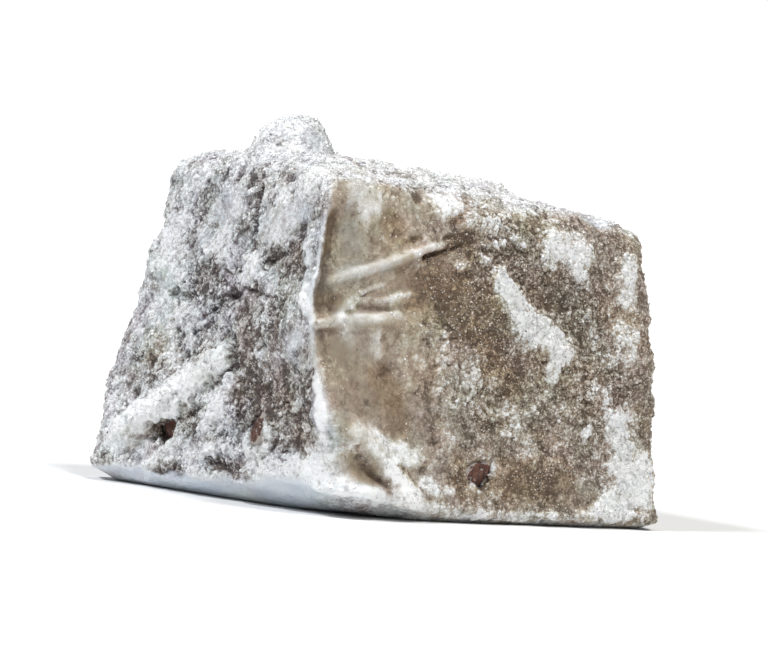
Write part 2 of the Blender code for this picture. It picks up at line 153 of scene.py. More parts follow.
# Starch on each face, in the same millimetres. Each dab is a line on its face, with its half width and how
# much starch it adds, or takes away below 0. film is where the skin is smooth, bare where brown jelly shows
# through and specks where dark pits break the starch. level is the starch all over the face: 0 is bare and 1
# is caked. brown is how brown the jelly of the face looks, and tint how much browner it is where it is bare.
starch = {
    "front": {
        "level": 0.43, "brown": 0.75, "tint": 0.5,
        "dabs": [
            (0.7, 22.0, 1.1, 21.0, 1.3, 0.45), (7.5, 22.2, 7.3, 21.8, 1.2, 0.9),
            (8.6, 21.4, 7.9, 20.9, 0.7, 0.3), (5.7, 22.0, 5.2, 21.5, 0.35, -0.9),
            (*upperFold, 7.2, 18.5, 0.27, 0.4),
            # The second dab here, with the first bare line, takes starch off the crevice under the upper
            # fold's end, so it shows dark: painted shade.
            (3.4, 17.3, 4.7, 17.75, 5.9, 18.2, 0.42, 0.09), (5.6, 17.6, 7.4, 18.1, 0.2, -0.4),
            (*lowerFold, 0.34, 0.45),
            (-2.0, 12.95, 1.3, 13.25, 0.6, 0.14), (-0.8, 13.75, -0.4, 14.1, 0.1, 14.5, 0.5, 0.38),
            # The first dab here darkens a thin line under the lower fold: painted shadow.
            (-3.1, 12.4, -0.8, 12.45, 0.2, -0.2), (0.8, 15.05, 2.6, 15.65, 0.2, 0.34),
            (0.5, 14.42, 2.9, 14.7, 4.6, 15.2, 0.22, 0.2), (3.0, 14.7, 4.3, 15.0, 0.36, 0.24),
            (0.5, 14.05, 3.1, 13.97, 0.2, -0.15), (-2.7, 15.1, -1.7, 14.1, 0.55, -0.35),
            (10.4, 20.0, 12.4, 19.6, 0.8, 0.25), (1.7, 12.4, 2.1, 11.0, 0.42, 0.45),
            (-0.4, 12.4, 0.1, 11.8, 0.5, 0.35), (11.8, 16.7, 12.6, 15.7, 0.7, 0.8),
            (12.4, 15.7, 13.8, 14.1, 1.0, 0.9), (13.5, 14.0, 16.2, 13.2, 0.9, 0.8),
            (15.2, 13.0, 17.5, 11.8, 0.9, 0.85), (16.6, 11.6, 16.5, 10.3, 0.6, 1.0),
            (13.1, 13.0, 14.4, 12.3, 0.7, 0.45), (16.7, 18.8, 18.5, 18.3, 1.25, 0.8),
            (16.3, 19.0, 16.0, 17.8, 0.7, 0.4), (18.6, 17.3, 19.2, 16.6, 0.5, 0.5),
            (10.3, 17.8, 11.0, 17.7, 0.35, 0.6), (10.3, 18.7, 12.2, 18.8, 0.28, 0.5),
            (13.3, 19.2, 14.0, 18.9, 0.35, 0.5), (9.3, 20.2, 11.6, 20.2, 0.5, 0.4),
            (10.0, 21.3, 9.2, 20.4, 0.4, 0.1), (12.3, 20.7, 13.6, 20.9, 0.4, 0.25),
            (8.5, 17.1, 9.2, 17.2, 0.25, 0.35), (22.9, 18.0, 22.9, 15.7, 0.75, 0.7),
            (22.3, 13.5, 23.2, 13.0, 0.7, 0.45), (21.4, 11.4, 23.3, 11.8, 0.5, 0.45),
            (19.9, 9.5, 20.9, 8.9, 0.6, 0.45), (19.6, 14.4, 20.3, 12.8, 0.9, 0.25),
            (21.7, 8.1, 23.2, 7.9, 0.8, 0.5), (22.2, 7.0, 22.8, 3.8, 0.95, 1.05),
            (23.7, 3.6, 22.4, 2.0, 1.6, 0.9), (24.7, 3.9, 25.1, 1.8, 0.8, 0.5),
            (20.8, 1.3, 23.9, 1.1, 0.6, 0.6), (7.0, 12.6, 7.3, 10.9, 0.62, 0.45),
            (9.1, 11.9, 9.4, 10.8, 0.45, 0.4), (8.0, 9.9, 9.6, 9.0, 1.0, 0.3),
            (10.4, 10.2, 11.2, 9.7, 0.7, 0.3), (6.9, 8.6, 8.1, 7.9, 0.6, 0.3),
            (10.2, 11.3, 11.2, 11.4, 0.5, 0.25), (5.1, 10.9, 5.6, 10.4, 0.4, 0.15),
            (19.0, 8.0, 21.0, 14.0, 3.5, 0.07), (12.0, 8.5, 15.0, 9.5, 2.6, 0.06),
            (12.7, 7.7, 13.9, 7.3, 0.65, 0.35), (13.9, 6.3, 14.9, 4.7, 0.7, 0.45),
            (19.4, 6.4, 19.7, 6.6, 0.33, 0.9), (12.5, 6.3, 12.9, 6.2, 0.3, 0.5),
            (0.2, 5.9, 1.9, 5.3, 0.75, 0.6), (3.0, 4.8, 5.3, 4.2, 0.8, 0.6),
            (3.3, 3.4, 4.8, 1.9, 0.75, 0.75), (1.3, 4.9, 3.3, 3.1, 0.35, 0.4),
            (6.2, 2.7, 7.1, 2.2, 0.5, 0.65), (8.0, 2.2, 8.5, 2.1, 0.25, 0.55),
            (9.8, 2.2, 10.2, 2.0, 0.25, 0.5), (7.4, 5.6, 8.2, 5.7, 0.4, 0.3),
            (2.6, 1.3, 10.8, 0.7, 0.4, 0.55), (10.8, 0.6, 16.9, 0.7, 0.35, 0.6),
            (17.0, 0.8, 21.0, 0.9, 0.35, 0.4), (16.9, 4.0, 17.9, 3.2, 0.7, 0.35),
            (0.2, 1.7, 2.5, 1.8, 0.5, 0.6), (0.9, 4.2, 2.8, 2.4, 0.32, -0.28),
            (-0.5, 4.0, 0.3, 2.6, 0.6, 0.25), (16.8, 6.1, 17.3, 6.6, 0.35, 0.3),
        ],
        "film": [
            (-1.2, 19.7, -0.1, 18.3, 1.3, 0.6), (0.6, 21.8, 1.1, 21.0, 1.3, 0.3),
            (-2.1, 15.7, 2.9, 17.1, 5.9, 18.2, 0.5, 0.7), (-2.1, 13.1, 3.4, 13.6, 0.55, 0.6),
            (-2.3, 14.4, -1.0, 14.3, 0.7, 0.7), (0.6, 11.4, 0.4, 7.6, 2.0, 0.55),
            (2.9, 8.1, 4.1, 7.0, 1.2, 0.5), (-2.6, 11.8, -0.6, 10.8, 0.8, 0.7),
            (0.3, 5.6, 4.0, 2.5, 0.9, 0.45), (0.4, 2.9, 1.3, 2.6, 0.9, 0.8),
            (12.2, 3.2, 14.2, 2.3, 1.4, 0.4), (17.3, 2.4, 20.0, 2.2, 0.9, 0.5),
            (8.4, 22.0, 7.8, 21.4, 0.8, 0.4), (2.8, 16.0, 4.6, 15.7, 0.8, 0.4),
        ],
        "bare": [
            # The first bare line is the crevice under the upper fold's end: painted shade.
            (5.7, 17.6, 7.5, 18.1, 0.26, 1.0), (7.8, 18.3, 8.6, 18.8, 0.35, 0.8),
            (7.5, 19.0, 8.7, 19.2, 0.2, 0.6), (0.7, 4.6, 3.2, 2.2, 0.38, 0.5),
            (-1.7, 20.1, -1.9, 17.8, 0.35, 0.8), (-2.7, 14.4, -1.0, 14.4, 0.5, 0.7),
            (5.7, 22.0, 5.2, 21.5, 0.35, 0.9), (2.6, 20.1, 3.2, 19.3, 0.8, 0.5),
            (3.9, 18.5, 5.2, 18.9, 0.24, 0.4), (7.9, 20.2, 8.7, 20.4, 0.3, 0.7),
            (2.6, 9.2, 3.6, 6.8, 1.3, 0.5), (5.6, 15.6, 10.6, 13.8, 1.9, 0.7),
            (9.6, 3.1, 17.4, 3.3, 1.2, 0.9), (3.7, 16.8, 4.1, 17.3, 0.5, 0.4),
            (1.0, 3.4, 2.0, 2.6, 0.5, 0.3), (11.6, 10.6, 13.3, 9.6, 1.1, 0.5),
            (10.2, 12.9, 11.5, 12.2, 0.9, 0.4), (15.8, 15.3, 16.7, 14.9, 0.6, 0.4),
            (9.0, 19.1, 9.5, 18.1, 0.5, 0.4),
        ],
        "specks": [
            (12.0, 18.0, 18.0, 15.0, 3.0, 0.5), (19.0, 14.0, 21.0, 8.0, 2.0, 0.5),
            (22.0, 10.0, 23.0, 2.0, 1.0, 0.4), (13.0, 12.0, 17.0, 8.0, 3.0, 0.3),
            (7.6, 12.0, 10.0, 8.0, 2.0, 0.45), (9.5, 19.5, 14.5, 17.0, 1.5, 0.4),
        ],
    },
    "left": {
        "level": 0.73, "brown": 0.10, "tint": 0.25,
        "dabs": [
            (20.9, 19.3, 22.3, 16.4, 1.5, 0.35), (20.5, 20.9, 18.8, 21.5, 1.3, 0.22),
            (17.0, 19.1, 14.0, 19.8, 1.3, 0.02), (8.8, 18.8, 6.0, 19.6, 1.3, 0.02),
            (5.3, 18.6, 4.2, 18.4, 0.45, -0.7), (16.5, 17.2, 14.6, 17.6, 0.9, 0.33),
            (17.8, 16.2, 16.9, 16.5, 0.9, 0.25), (11.0, 15.1, 10.2, 15.9, 0.9, 0.33),
            (5.3, 21.9, 2.4, 22.3, 1.0, 0.5), (3.3, 17.6, 1.2, 13.6, 0.4, 0.28),
            (3.2, 13.2, 1.6, 14.0, 0.7, 0.22), (21.4, 17.4, 21.7, 18.2, 0.8, 0.17),
            (20.8, 16.4, 20.1, 15.4, 0.5, 0.22), (19.2, 13.0, 19.2, 11.9, 0.5, 0.22),
            (19.1, 5.3, 16.8, 7.1, 1.15, 0.9), (17.5, 6.2, 15.7, 7.7, 1.0, 0.7),
            (15.7, 7.8, 12.5, 9.7, 0.8, 0.6), (22.5, 2.8, 20.7, 4.1, 1.3, 0.6),
            (20.1, 4.4, 18.7, 5.1, 0.9, 0.6), (13.1, 4.6, 12.0, 6.6, 0.55, 0.45),
            (12.0, 6.6, 11.3, 8.5, 0.5, 0.4), (10.5, 10.2, 9.6, 10.4, 0.5, 0.28),
            (22.0, 14.4, 20.0, 13.4, 1.2, 0.12), (20.0, 12.4, 12.6, 11.0, 2.0, 0.12),
            (14.9, 2.7, 11.8, 3.6, 0.5, 0.5), (14.1, 1.6, 11.3, 1.5, 0.42, 0.6),
            (22.4, 1.0, 19.1, 1.0, 0.55, 0.5), (7.5, 1.5, 4.1, 2.5, 0.8, 0.65),
            (3.4, 3.2, 1.9, 3.4, 1.2, 0.9), (8.5, 2.4, 4.9, 3.2, 0.5, 0.35),
            (3.1, 11.2, 1.8, 10.9, 0.7, 0.19), (0.6, 7.4, 0.8, 5.5, 0.5, 0.5),
            (0.8, 9.0, 0.5, 8.0, 0.4, 0.4), (17.5, 2.4, 18.7, 1.6, 0.6, 0.35),
            (6.9, 5.5, 6.5, 5.2, 0.3, 0.4), (10.5, 3.6, 7.8, 3.3, 0.6, 0.3),
            (13.0, 10.8, 14.6, 9.9, 1.3, 0.2), (12.6, 4.8, 11.6, 3.9, 1.2, 0.15),
            (9.5, 8.4, 9.2, 6.4, 1.4, -0.15), (11.0, 1.2, 8.0, 1.2, 0.35, 0.5),
        ],
        "film": [
            (17.0, 19.1, 14.0, 19.8, 1.3, 0.5), (8.8, 18.8, 5.6, 19.5, 1.3, 0.55),
            (3.9, 18.1, 0.9, 13.3, 0.6, 0.7), (22.5, 14.9, 21.3, 12.7, 1.6, 0.4),
            (17.1, 16.1, 18.2, 17.4, 0.5, 0.5), (19.3, 4.8, 16.2, 7.3, 1.0, 0.35),
            (3.1, 11.3, 1.9, 10.7, 1.0, 0.7), (0.6, 8.1, 1.0, 5.1, 0.7, 0.7),
            (10.7, 15.2, 10.1, 15.8, 0.8, 0.5), (20.7, 3.4, 20.0, 2.6, 1.0, 0.6),
            (3.1, 3.3, 2.0, 3.2, 1.2, 0.6), (12.6, 9.2, 12.5, 10.0, 0.6, 0.5),
        ],
        "bare": [
            (9.9, 13.7, 10.5, 10.7, 1.5, 0.8), (8.4, 16.5, 5.1, 17.4, 0.8, 0.7),
            (6.1, 15.6, 5.9, 12.4, 1.4, 0.65), (17.3, 14.7, 13.9, 14.2, 1.4, 0.5),
            (9.5, 8.4, 9.1, 6.7, 1.5, 0.5), (5.5, 8.3, 4.5, 7.6, 1.0, 0.3),
            (21.0, 3.7, 15.9, 4.7, 0.7, 0.8), (14.7, 5.0, 14.0, 5.6, 0.6, 0.6),
            (12.7, 2.4, 9.8, 2.3, 0.5, 0.6), (4.0, 9.2, 3.4, 8.5, 1.0, 0.2), (2.4, 6.0, 2.5, 5.2, 0.8, 0.6),
            (12.1, 18.1, 11.7, 21.0, 0.7, 0.4), (21.7, 5.3, 20.6, 8.5, 1.2, 0.55),
            (23.3, 1.4, 24.0, 0.2, 0.8, 0.5), (8.0, 10.7, 5.0, 11.4, 1.0, 0.6),
            (20.7, 15.6, 21.2, 16.4, 0.5, 0.6), (8.8, 8.8, 7.2, 6.2, 1.2, 0.9),
            (1.2, 10.8, 2.0, 8.8, 0.9, 0.8), (2.4, 6.4, 2.9, 4.9, 1.1, 0.8),
            (4.2, 17.0, 2.8, 15.4, 0.9, 0.7), (14.6, 1.2, 18.4, 1.4, 0.5, 0.6),
            (21.8, 11.4, 21.0, 9.2, 0.9, 0.6), (5.2, 8.6, 4.0, 4.6, 2.0, 0.8),
        ],
        "specks": [
            (11.6, 21.3, 11.4, 18.6, 0.8, 0.9), (16.2, 21.7, 11.5, 22.4, 0.8, 0.5),
            (14.5, 18.3, 11.6, 18.9, 0.55, 0.8), (19.3, 20.0, 20.7, 17.0, 0.9, 0.6),
            (17.3, 14.9, 13.1, 14.2, 1.6, 1.0), (18.0, 13.2, 13.5, 13.1, 1.0, 0.7),
            (15.2, 12.6, 13.0, 13.8, 0.22, 1.2), (13.0, 13.8, 9.6, 14.8, 0.22, 1.2),
            (9.2, 16.5, 5.2, 17.6, 0.6, 0.9), (5.8, 16.1, 6.7, 13.9, 0.8, 0.6),
            (7.2, 13.4, 9.5, 11.6, 1.2, 0.6), (20.8, 13.2, 19.3, 13.4, 0.8, 1.1),
            (5.3, 18.6, 4.2, 18.4, 0.45, 0.9), (18.9, 10.5, 17.2, 9.3, 0.8, 0.8),
            (15.5, 11.4, 13.2, 11.0, 1.6, 0.55), (12.1, 10.9, 11.2, 9.0, 0.38, 1.3),
            (11.2, 9.0, 13.2, 8.1, 0.2, 1.0), (9.5, 8.4, 9.2, 6.4, 1.5, 1.1),
            (6.8, 8.2, 5.7, 7.2, 0.9, 0.7), (17.3, 6.1, 16.6, 6.8, 0.5, 1.2),
            (15.4, 5.0, 14.6, 5.9, 0.5, 1.2), (19.7, 3.3, 18.8, 2.5, 0.4, 0.8),
            (15.2, 4.9, 20.6, 3.7, 0.7, 0.7), (12.7, 2.5, 10.1, 2.3, 0.35, 0.9),
            (18.5, 1.1, 15.9, 1.1, 0.7, 0.8), (21.1, 1.8, 20.1, 1.5, 0.45, 1.0),
            (23.3, 1.8, 21.4, 1.6, 0.6, 0.6), (5.9, 5.9, 4.7, 4.4, 1.3, 0.6),
            (12.2, 4.3, 10.5, 4.2, 0.5, 0.8), (10.7, 5.9, 10.1, 6.5, 0.3, 0.9),
            (12.6, 4.7, 13.0, 4.2, 0.3, 0.5), (9.5, 6.6, 9.9, 5.5, 0.6, 0.7),
            (10.1, 20.5, 9.3, 20.0, 0.3, 0.8), (20.7, 15.9, 20.6, 16.0, 0.25, 1.2),
            (20.2, 7.8, 19.8, 8.3, 0.9, 0.6), (11.9, 3.3, 12.2, 3.4, 0.3, 0.8),
            (4.9, 9.1, 4.1, 8.4, 0.7, 0.5), (19.3, 14.0, 16.5, 15.3, 0.4, 0.9),
            (14.0, 9.0, 14.0, 9.0, 7.0, 0.15), (2.2, 10.4, 3.0, 4.8, 1.0, 0.7),
            (4.2, 17.0, 2.8, 15.4, 0.9, 0.5),
        ],
    },
    "right": {
        "level": 0.44, "brown": 0.75, "tint": 0.5,
        "dabs": [
            (4.3, 6.2, 6.0, 6.4, 0.5, 0.5), (6.6, 7.1, 8.4, 8.7, 1.05, 0.65),
            (9.3, 8.6, 10.4, 10.0, 0.7, 0.6), (11.8, 10.0, 12.6, 11.2, 0.4, 0.45),
            (*rightCrease, 0.4, -0.15), (15.7, 4.9, 17.2, 4.0, 0.8, 0.5),
            (18.3, 5.4, 19.6, 6.6, 0.55, 0.5), (20.8, 6.9, 22.2, 6.0, 1.1, 0.4),
            (6.0, 17.6, 7.3, 16.6, 1.4, 0.5), (8.6, 15.4, 9.0, 14.2, 0.6, 0.45),
            (20.6, 17.6, 22.2, 15.6, 1.2, 0.5), (11.6, 3.0, 12.4, 2.4, 1.0, 0.5),
            (2.0, 11.6, 2.9, 10.2, 0.9, 0.45), (2.3, 8.4, 2.5, 7.4, 0.6, 0.5),
            (3.0, 0.9, 9.0, 0.8, 0.6, 0.6), (11.0, 0.7, 22.0, 0.8, 0.45, 0.5),
            (17.6, 11.0, 18.8, 12.4, 0.8, 0.4), (10.4, 12.6, 11.6, 11.8, 0.5, 0.4),
            (4.0, 3.2, 6.0, 2.4, 1.1, 0.6), (13.2, 17.6, 15.4, 18.2, 0.7, 0.4),
        ],
        "film": [
            (10.0, 13.0, 13.0, 16.0, 2.0, 0.6), (20.0, 9.0, 22.0, 10.0, 1.9, 0.6),
            (14.0, 15.2, 17.0, 14.0, 0.6, 0.3),
        ],
        "bare": [
            (*rightCrease, 0.4, 0.5), (8.0, 12.0, 10.0, 12.4, 1.4, 0.4),
            (15.0, 6.6, 18.0, 8.4, 1.6, 0.4),
        ],
        "specks": [(5.0, 12.0, 9.0, 9.0, 2.0, 0.4), (15.0, 3.0, 21.0, 3.6, 1.6, 0.4)],
    },
    "back": {
        "level": 0.53, "brown": 0.25, "tint": 0.35,
        "dabs": [
            (4.5, 15.6, 7.6, 15.1, 0.9, 0.45), (8.2, 14.2, 11.0, 13.6, 1.1, 0.45),
            (11.9, 12.6, 13.3, 12.9, 0.6, 0.4), (*backCrease, 0.5, -0.15),
            (3.0, 4.4, 5.6, 5.9, 1.1, 0.5), (7.4, 6.4, 9.6, 7.0, 0.8, 0.4),
            (6.2, 10.4, 9.0, 11.0, 1.2, -0.2), (22.6, 4.4, 20.4, 3.0, 1.3, 0.5),
            (18.6, 18.4, 20.0, 16.8, 1.2, 0.5), (3.0, 0.9, 23.0, 0.9, 0.7, 0.6),
            (12.2, 18.6, 14.6, 18.2, 1.0, 0.5), (12.0, 3.6, 14.0, 4.0, 1.0, 0.4),
        ],
        "film": [
            (18.0, 12.6, 21.0, 12.0, 1.8, 0.8), (7.0, 10.0, 8.0, 11.0, 1.7, 0.6),
            (4.0, 19.0, 6.0, 19.4, 1.4, 0.7),
        ],
        "bare": [
            (*backCrease, 0.45, 0.5), (6.6, 10.4, 8.4, 10.8, 1.4, 0.6),
            (11.0, 16.4, 14.0, 15.0, 0.9, 0.5),
        ],
        "specks": [
            (13.0, 6.0, 21.0, 8.6, 1.2, 0.8), (6.0, 13.4, 13.0, 10.6, 0.9, 0.6),
            (16.0, 17.0, 19.0, 13.0, 1.0, 0.6), (4.0, 8.0, 9.0, 9.0, 1.2, 0.5),
            (12.0, 10.0, 12.0, 10.0, 8.0, 0.2),
        ],
    },
    "top": {
        "level": 0.93, "brown": 0.15, "tint": 0.25,
        "dabs": [
            (7.0, 6.0, 17.5, 9.5, 0.9, 0.2), (*topCrease, 0.5, -0.2),
            (18.4, 6.2, 20.6, 5.0, 1.4, -0.3),
        ],
        "film": [
            (18.0, 6.0, 20.0, 5.0, 2.0, 0.5), (5.0, 20.0, 6.0, 21.0, 2.2, 0.5),
            (13.0, 12.0, 15.0, 14.0, 2.0, 0.4),
        ],
        "bare": [
            (*topCrease, 0.4, 0.4), (18.4, 6.2, 20.6, 5.0, 1.2, 0.4),
        ],
        "specks": [
            (9.0, 15.4, 19.0, 18.4, 1.0, 0.6), (16.0, 4.0, 21.0, 8.0, 1.6, 0.5),
            (4.0, 6.0, 8.0, 3.0, 1.4, 0.3),
        ],
    },
    "base": {
        "level": 0.53, "brown": 0.25, "tint": 0.35,
        "dabs": [(8.0, 8.0, 18.0, 16.0, 4.0, -0.2), (1.0, 1.2, 23.0, 1.2, 1.8, 0.35)],
        "film": [(10.0, 12.0, 16.0, 14.0, 14.0, 0.6)],
        "bare": [(6.0, 6.0, 9.0, 8.0, 2.0, 0.4)],
        "specks": [(13.0, 13.0, 13.0, 13.0, 6.0, 0.3)],
    },
    "knob": (2.6, 13.8, 24.2, 3.9, 0.2),  # place, radius and starch
    "atEdges": 0.08,
}

# Fine wrinkles and cracks in the skin, as lines like the dabs', with half width and height.
wrinkles = {
    "front": [
        (*upperFold, 0.34, 0.32),
        (3.4, 17.3, 4.7, 17.75, 5.9, 18.2, 0.5, 0.12),
        (5.5, 17.6, 6.6, 17.9, 8.2, 18.3, 9.0, 18.6, 0.24, -0.75),
        (-3.2, 12.9, 0.3, 13.3, 1.8, 13.3, 3.5, 13.68, 0.45, 0.3), (-1.0, 13.6, -0.1, 14.5, 0.5, 0.26),
        (0.5, 14.8, 2.6, 15.65, 0.24, 0.24), (0.5, 14.42, 2.9, 14.7, 4.6, 15.2, 0.24, 0.2),
        (0.5, 14.05, 3.1, 13.97, 0.26, -0.14), (-3.1, 12.4, -0.6, 12.5, 0.22, -0.25),
        (4.1, 18.6, 5.3, 18.95, 0.2, -0.18), (0.3, 4.7, 3.1, 2.2, 0.36, -0.28),
        (0.5, 5.9, 4.9, 2.7, 0.5, 0.16), (-1.8, 12.1, 3.0, 12.7, 0.25, -0.14),
        (7.4, 18.95, 8.7, 19.2, 0.24, -0.25), (8.6, 20.5, 9.3, 20.8, 0.22, -0.25),
    ],
    "left": [
        (12.1, 11.0, 11.2, 9.0, 0.34, -0.55), (21.0, 3.6, 14.6, 5.9, 0.45, -0.22),
        (21.0, 4.3, 12.6, 9.8, 0.6, 0.18), (15.3, 12.5, 13.0, 13.8, 0.26, -0.4),
        (12.8, 13.6, 10.7, 14.4, 0.28, -0.5), (10.7, 14.4, 7.9, 14.1, 0.26, -0.4),
        (11.2, 9.0, 13.2, 8.1, 0.22, -0.35), (8.8, 16.4, 5.0, 17.6, 0.45, -0.35),
        (13.6, 4.0, 11.4, 8.6, 0.4, 0.16), (12.7, 2.4, 9.8, 2.3, 0.3, -0.35),
        (18.8, 1.2, 15.6, 1.2, 0.35, -0.3), (20.9, 13.2, 19.2, 13.3, 0.4, -0.4),
        (11.0, 21.2, 11.5, 18.4, 0.28, -0.35), (6.0, 18.5, 5.0, 19.3, 0.3, -0.35),
        (9.4, 8.2, 8.0, 6.4, 0.5, -0.35), (17.3, 6.2, 16.6, 6.8, 0.3, -0.3),
        (17.0, 10.9, 14.6, 11.9, 0.26, -0.3), (6.6, 11.9, 4.6, 13.2, 0.26, -0.3),
    ],
    "right": [
        (*rightCrease, 0.32, -0.32), (4.8, 6.0, 12.2, 10.0, 0.4, 0.2),
        (2.6, 13.6, 8.4, 12.2, 0.25, -0.3),
    ],
    "back": [
        (*backCrease, 0.36, -0.32), (4.8, 15.9, 12.6, 13.0, 0.4, 0.2),
        (16.0, 12.0, 19.0, 17.0, 0.3, -0.3),
    ],
    "top": [(*topCrease, 0.36, -0.25), (7.0, 6.0, 17.5, 9.5, 0.4, 0.2)],
    "base": [],
}


def faceViews(points, normals):  # how far each place belongs to each face of the block, and its place there
    x, y, z = points.T
    views = {
        "front": (-normals[:, 1], x, z), "left": (-normals[:, 0], y, z), "right": (normals[:, 0], y, z),
        "back": (normals[:, 1], x, z), "top": (normals[:, 2] - 0.4 * (1.0 - eased(y, 2.2, 4.4)), x, y),
        "base": (-normals[:, 2], x, y),
    }
    shares = {face: np.clip(facing, 0.0, 1.0) ** 2 for face, (facing, _, _) in views.items()}
    total = sum(shares.values())
    return {face: (shares[face] / total, views[face][1], views[face][2]) for face in views}


spread = {
    "wobble": ((0.30, 2.2, 20), (0.40, 0.9, 21), (0.34, 0.4, 22)),  # of the dabs' edges: size, spacing, seed
    "fade": (0.35, 1.55),  # from where to where a dab fades out, against its half width
    "knobFade": (0.8, 1.1, 0.4),  # the same for the lump on top, and how much it wobbles
    "least": 0.02,  # share of a face below which its dabs don't count
    "thin": 0.7,  # dabs thinner than this wander less
    "wander": ((0.16, 1.6, 26), (0.10, 0.7, 27)), "taper": 0.6,  # of wrinkles, and how much lower they end
    "dab": 0.9, "bare": 0.22, "bareFront": 0.10, "film": 0.09,  # how much each layer adds or takes away
    "greyFilm": 0.3, "greyFrom": (12.0, 15.0),  # the film on the upper front is less brown
}


def starchOver(points, views):  # starch, smooth film, brown jelly and dark specks at each place
    wobble = noises(points, spread["wobble"])
    layers = {name: np.zeros(len(points)) for name in ("dabs", "film", "bare", "specks")}
    level, brown, tint = np.zeros(len(points)), np.zeros(len(points)), np.zeros(len(points))
    for face, (share, across, up) in views.items():
        near = share > spread["least"]
        level += share * starch[face]["level"]
        brown += share * starch[face]["brown"]
        tint += share * starch[face]["tint"]
        for layer, total in layers.items():
            for *line, halfWidth, amount in starch[face][layer]:
                away, _ = awayFrom(line, across[near], up[near])
                uneven = wobble[near] * min(1.0, halfWidth / spread["thin"])
                fading = eased(away / halfWidth + uneven, *spread["fade"])
                total[near] += share[near] * amount * (1.0 - fading)
    *middle, radius, amount = starch["knob"]
    nearKnob, farKnob, unevenKnob = spread["knobFade"]
    toKnob = np.linalg.norm(points - middle, axis=1) / radius + unevenKnob * wobble
    onKnob = 1.0 - eased(toKnob, nearKnob, farKnob)
    onEdge = 1.0 - np.maximum.reduce([view[0] for view in views.values()])
    level += amount * onKnob + starch["atEdges"] * onEdge
    film, bare = np.clip(layers["film"], 0.0, 1.0), np.clip(layers["bare"], 0.0, 1.0)
    filmAbove = film * views["front"][0] * eased(points[:, 2], *spread["greyFrom"])
    brown = np.clip(brown + bare * tint - onKnob - spread["greyFilm"] * filmAbove, 0.0, 1.0)
    lostWhereBare = spread["bare"] + spread["bareFront"] * views["front"][0]
    powder = level + spread["dab"] * layers["dabs"] - lostWhereBare * bare - spread["film"] * film
    return powder, film, brown, np.clip(layers["specks"], 0.0, 1.5)


def wrinklesOver(points, views):  # height of the folds, wrinkles and cracks at each place
    wander = noises(points, spread["wander"])
    total = np.zeros(len(points))
    for face, (share, across, up) in views.items():
        near = share > spread["least"]
        for *line, halfWidth, height in wrinkles[face]:
            away, along = awayFrom(line, across[near], up[near])
            taper = 1.0 - spread["taper"] * along
            profile = np.clip(1.0 - np.abs(away + wander[near]) / halfWidth, 0, 1)
            total[near] += share[near] * height * taper * profile
    return total


# The block of jelly, with the starch caked on it, in millimetres unless it says otherwise.
block = {
    "voxel": 0.00012,  # metres
    "smoothing": 40,
    "plugSize": 1.5, "plugFlat": 0.77,  # jelly that closes round the almond chips, against the size of a chip
    "plugSunk": 0.00025,  # metres
    "edgeLevels": (0.5, 22.4, 0.5), "edgeSlice": 0.3,  # where the near edge is looked for
    "patches": ((3.6, 0.15), (1.8, 0.19), (0.9, 0.24), (0.45, 0.28)),  # spacing and strength of uneven starch
    "calm": 0.45, "calmFilm": 0.7,  # how much weaker that is on the front and the right, and on smooth film
    "streak": ((0.0, 0.64, -0.77), 0.55),  # the way the starch is streaked, and its noise's size along that
    "damp": (0.16, 0.3),  # damp jelly holds starch: what is missing below the first is cut to this share
    "driest": 0.05,  # least starch anywhere
    "cake": (0.26, -0.2, 1.15),  # its thickness, and the least and the most starch that it follows
    "crumbs": ((0.12, 0.70), (0.07, 0.30)),  # height and spacing
    "looseFront": (0.42, 0.85, 3.0, 13.0),  # how crumbly its left is, how much more its right; from, to
    "looseSides": 1.1, "looseLimits": (0.15, 1.15),
    "cracks": (0.16, 0.55), "crackSides": (0.03, 0.24),  # depth and spacing, and where they start and end
    "broken": (1.1, 0.05, 0.6),  # spacing of the patches that have cracks, and where they start and end
    "lip": 0.26, "lipRun": (4.0, 20.2),  # how far the lip stands out, its foot and head
    "lipCrest": (-0.05, 0.26), "lipDust": (-0.15, 0.24),  # from the near edge, and half width
    "groove": 0.46, "grooveAt": (0.45, 0.38),  # beside the lip: depth, from the near edge, half width
    "grooveRuns": ((1.0, 13.6, 20.2, 0.4), (0.5, 10.4, 12.6, 0.6)),  # share, foot, head and softness
    "rim": 0.80, "rimAt": (1.9, 0.6),  # under the near corner: how far it stands out, height, half width
    "rimRun": (-0.8, 3.0, 0.7), "rimBack": (2.6, 3.4),  # along the front face, and where it ends on the left
    "tuckedFacing": (0.15, 0.55), "tuckedTop": (2.4, 3.4),  # the underside that the floor pressed smooth, also painted in cool shade
    "lipStarch": 0.20, "grooveBareAndShade": -0.46, "rimStarch": 0.3, "chipStarch": 0.20,  # added on them; the groove loses starch, as bare jelly and painted shade of the lip
    "cover": 0.22, "open": 0.38,  # starch on the rims of the almond chips, and depth of the holes over them
    "chipRim": (0.65, 0.85, 1.1, 1.7), "chipShown": (0.58, 0.76),  # start and end; 1 is the chip's outline
    "chipWobble": ((0.26, 0.8, 28), (0.16, 0.35, 29)), "chipReach": 3.0,
    "creaseShade": 1.4, "crackStarch": (0.5, 0.2),  # starch lost in creases by their depth, as painted shade, and lost in cracks; the front loses less in cracks
}

inward = {  # from each chip of almond into the jelly
    "almond_left_near": Vector((1, 0, 0)),
    "almond_left_far": Vector((1, 0, 0)),
    "almond_front": Vector((0, 1, 0)),
    "almond_right": Vector((-1, 0, 0)),
    "almond_back": Vector((0, -1, 0)),
}


